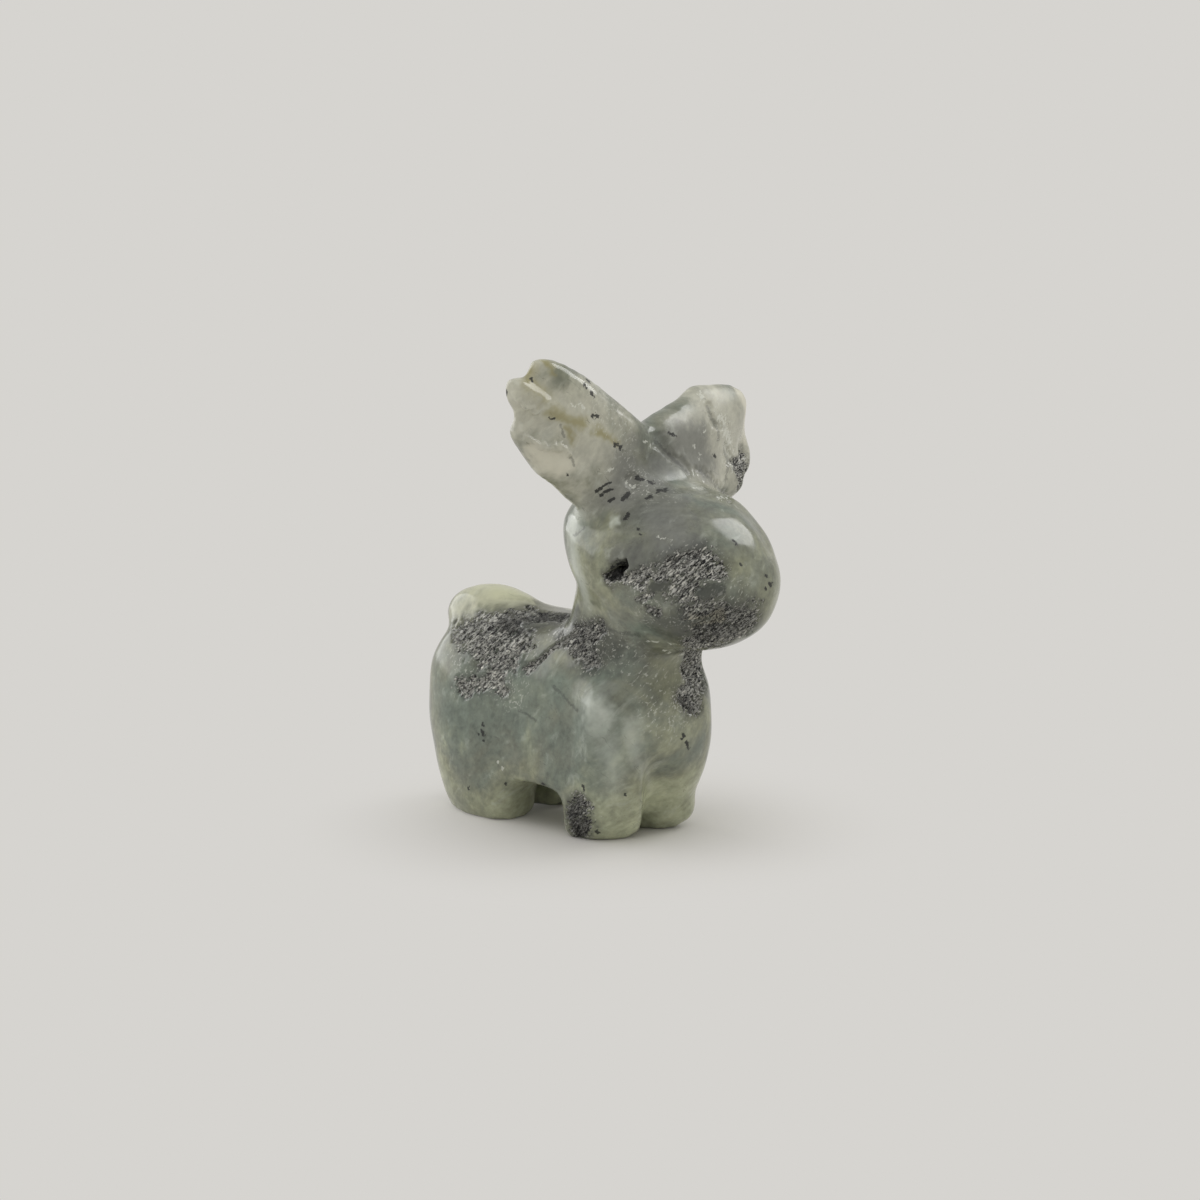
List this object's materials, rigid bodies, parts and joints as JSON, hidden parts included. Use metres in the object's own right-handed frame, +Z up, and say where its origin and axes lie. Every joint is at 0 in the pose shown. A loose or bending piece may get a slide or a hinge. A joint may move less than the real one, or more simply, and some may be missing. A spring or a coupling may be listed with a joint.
{
  "type": "stone reindeer carving",
  "caption": "Free-standing pocket figure of a reindeer carved in polished labradorite, with rounded body and head, broad notched antlers, raised tail and short legs, for display.",
  "frame": {"origin": "on the ground, under the middle of the whole figure's bounding box", "axes": "+X forward, from tail to muzzle; +Y to the animal's left; +Z up, from feet to antlers"},
  "size_m": [0.0348, 0.0294, 0.0414],
  "materials": {
    "stone": "polished grey-green labradorite with rough dark inclusions",
    "pale_stone": "polished, thin and slightly translucent olive to cream labradorite"
  },
  "bodies": {
    "root": {"torso": "stone", "neck": "stone", "head": "stone", "antler_left": "pale_stone", "antler_right": "pale_stone", "tail": "pale_stone", "fore_leg_left": "stone", "fore_leg_right": "stone", "hind_leg_left": "stone", "hind_leg_right": "stone"}
  },
  "joints": []
}
